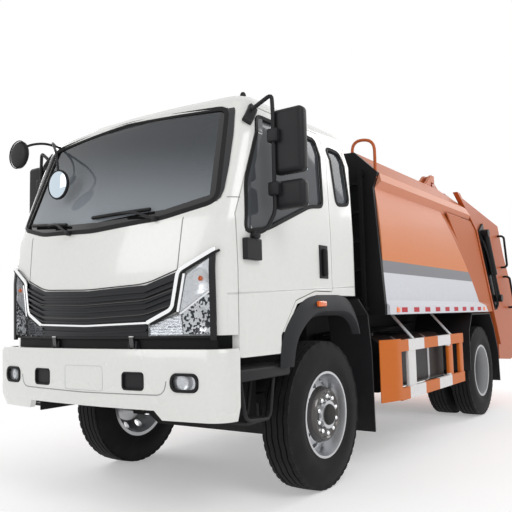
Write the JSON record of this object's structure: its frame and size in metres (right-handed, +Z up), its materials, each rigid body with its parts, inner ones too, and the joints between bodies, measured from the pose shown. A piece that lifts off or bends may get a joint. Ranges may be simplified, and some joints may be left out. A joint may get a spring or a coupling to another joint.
{
  "type": "rear loading compactor garbage truck",
  "caption": "Cab-over refuse truck with a closed compaction body, rear loading hopper with packer blade and bin lifter, tilting cab, steered front wheels and twin rear wheels.",
  "frame": {"origin": "on the ground under the middle of the overall box", "axes": "+X forward, +Y to the left-hand side, +Z up"},
  "size_m": [6.9998, 2.68, 2.684],
  "materials": {
    "white_paint": "gloss",
    "orange_paint": "gloss",
    "black_paint": "satin",
    "chassis_paint": "satin",
    "engine_paint": "rough",
    "cast": "painted",
    "black_plastic": "grained",
    "grey_plastic": "grained",
    "glass": "clear",
    "lamp": "clear",
    "red_lamp": "clear",
    "chrome": "polished",
    "tyre": "matte",
    "wheel": "satin"
  },
  "bodies": {
    "chassis": {"battery_box": "black_paint", "body_floor": "orange_paint", "body_roof": "orange_paint", "body_walls": "orange_paint", "bulkhead": "black_paint", "bumper": "white_paint", "cab_mounts": "chassis_paint", "cab_steps": "black_plastic", "crossmembers": "chassis_paint", "engine": "engine_paint", "fog_lamps": "lamp", "frame_rails": "chassis_paint", "front_axle": "cast", "fuel_tank": "black_paint", "grab_hoop": "orange_paint", "leaf_springs": "chassis_paint", "mudguards": "black_plastic", "propshaft": "chassis_paint", "rear_axle": "cast", "side_guards": "orange_paint"},
    "hopper": {"hopper_sides": "orange_paint", "hopper_trough": "orange_paint", "hopper_hood": "orange_paint", "slide_tracks": "black_paint", "tail_lamps": "red_lamp"},
    "carriage": {"packer_carriage": "orange_paint"},
    "blade": {"sweep_blade": "orange_paint"},
    "lifter": {"bin_lifter": "black_paint"},
    "barrels": {"lift_barrels": "black_paint"},
    "rods": {"lift_rods": "chrome"},
    "cab": {"cab_shell": "white_paint", "cab_glass": "glass", "grille": "black_plastic", "headlamps": "lamp", "arch_trims": "black_plastic", "cab_interior": "grey_plastic", "kerb_mirrors": "black_plastic"},
    "left_door": {"door_left": "white_paint", "door_glass_left": "glass", "mirror_left": "black_plastic"},
    "right_door": {"door_right": "white_paint", "door_glass_right": "glass", "mirror_right": "black_plastic"},
    "left_knuckle": {"knuckle_left": "cast"},
    "right_knuckle": {"knuckle_right": "cast"},
    "front_left_wheel": {"tyre_front_left": "tyre", "wheel_front_left": "wheel"},
    "front_right_wheel": {"tyre_front_right": "tyre", "wheel_front_right": "wheel"},
    "rear_left_wheel": {"tyres_rear_left": "tyre", "wheel_rear_left": "wheel"},
    "rear_right_wheel": {"tyres_rear_right": "tyre", "wheel_rear_right": "wheel"}
  },
  "joints": [
    {"name": "hopper_lift", "type": "hinge", "parent": "chassis", "child": "hopper", "pos_m": [-0.56, 0, 2.64], "axis": [0, 1, 0], "range_deg": [0, 60]},
    {"name": "ram_swing", "type": "hinge", "parent": "chassis", "child": "barrels", "pos_m": [-1.29, 0, 1.52], "axis": [0, -1, 0], "range_deg": [0, 5.31]},
    {"name": "ram_stroke", "type": "slide", "parent": "barrels", "child": "rods", "axis": [0.2612, 0, 0.9653], "range_m": [0, 0.55915]},
    {"name": "packer_slide", "type": "slide", "parent": "hopper", "child": "carriage", "axis": [-0.5127, 0, -0.8586], "range_m": [0, 0.35]},
    {"name": "blade_sweep", "type": "hinge", "parent": "carriage", "child": "blade", "pos_m": [-2.14288, 0, 1.61459], "axis": [0, 1, 0], "range_deg": [0, 58]},
    {"name": "bin_lift", "type": "hinge", "parent": "hopper", "child": "lifter", "pos_m": [-3.345, 0, 1.06], "axis": [0, 1, 0], "range_deg": [0, 145]},
    {"name": "cab_tilt", "type": "hinge", "parent": "chassis", "child": "cab", "pos_m": [3.4, 0, 1.046], "axis": [0, 1, 0], "range_deg": [0, 42]},
    {"name": "left_door_swing", "type": "hinge", "parent": "cab", "child": "left_door", "pos_m": [3.236, 1.034, 0], "axis": [0, 0, -1], "range_deg": [0, 68]},
    {"name": "right_door_swing", "type": "hinge", "parent": "cab", "child": "right_door", "pos_m": [3.236, -1.034, 0], "axis": [0, 0, 1], "range_deg": [0, 68]},
    {"name": "left_steer", "type": "hinge", "parent": "chassis", "child": "left_knuckle", "pos_m": [2.2, 0.77, 0.51], "axis": [0, 0, 1], "range_deg": [-30, 30]},
    {"name": "right_steer", "type": "hinge", "parent": "chassis", "child": "right_knuckle", "pos_m": [2.2, -0.77, 0.51], "axis": [0, 0, 1], "range_deg": [-30, 30]},
    {"name": "front_left_spin", "type": "hinge", "parent": "left_knuckle", "child": "front_left_wheel", "pos_m": [2.2, 0.903, 0.51], "axis": [0, 1, 0], "continuous": true},
    {"name": "front_right_spin", "type": "hinge", "parent": "right_knuckle", "child": "front_right_wheel", "pos_m": [2.2, -0.903, 0.51], "axis": [0, 1, 0], "continuous": true},
    {"name": "rear_left_spin", "type": "hinge", "parent": "chassis", "child": "rear_left_wheel", "pos_m": [-1.5, 0.799, 0.51], "axis": [0, 1, 0], "continuous": true},
    {"name": "rear_right_spin", "type": "hinge", "parent": "chassis", "child": "rear_right_wheel", "pos_m": [-1.5, -0.799, 0.51], "axis": [0, 1, 0], "continuous": true}
  ],
  "couplings": [
    {"joint": "ram_swing", "follows": "hopper_lift", "ratio": 0.088206},
    {"joint": "ram_stroke", "follows": "hopper_lift", "m_per_rad": 0.53348},
    {"joint": "right_steer", "follows": "left_steer", "ratio": 1}
  ]
}
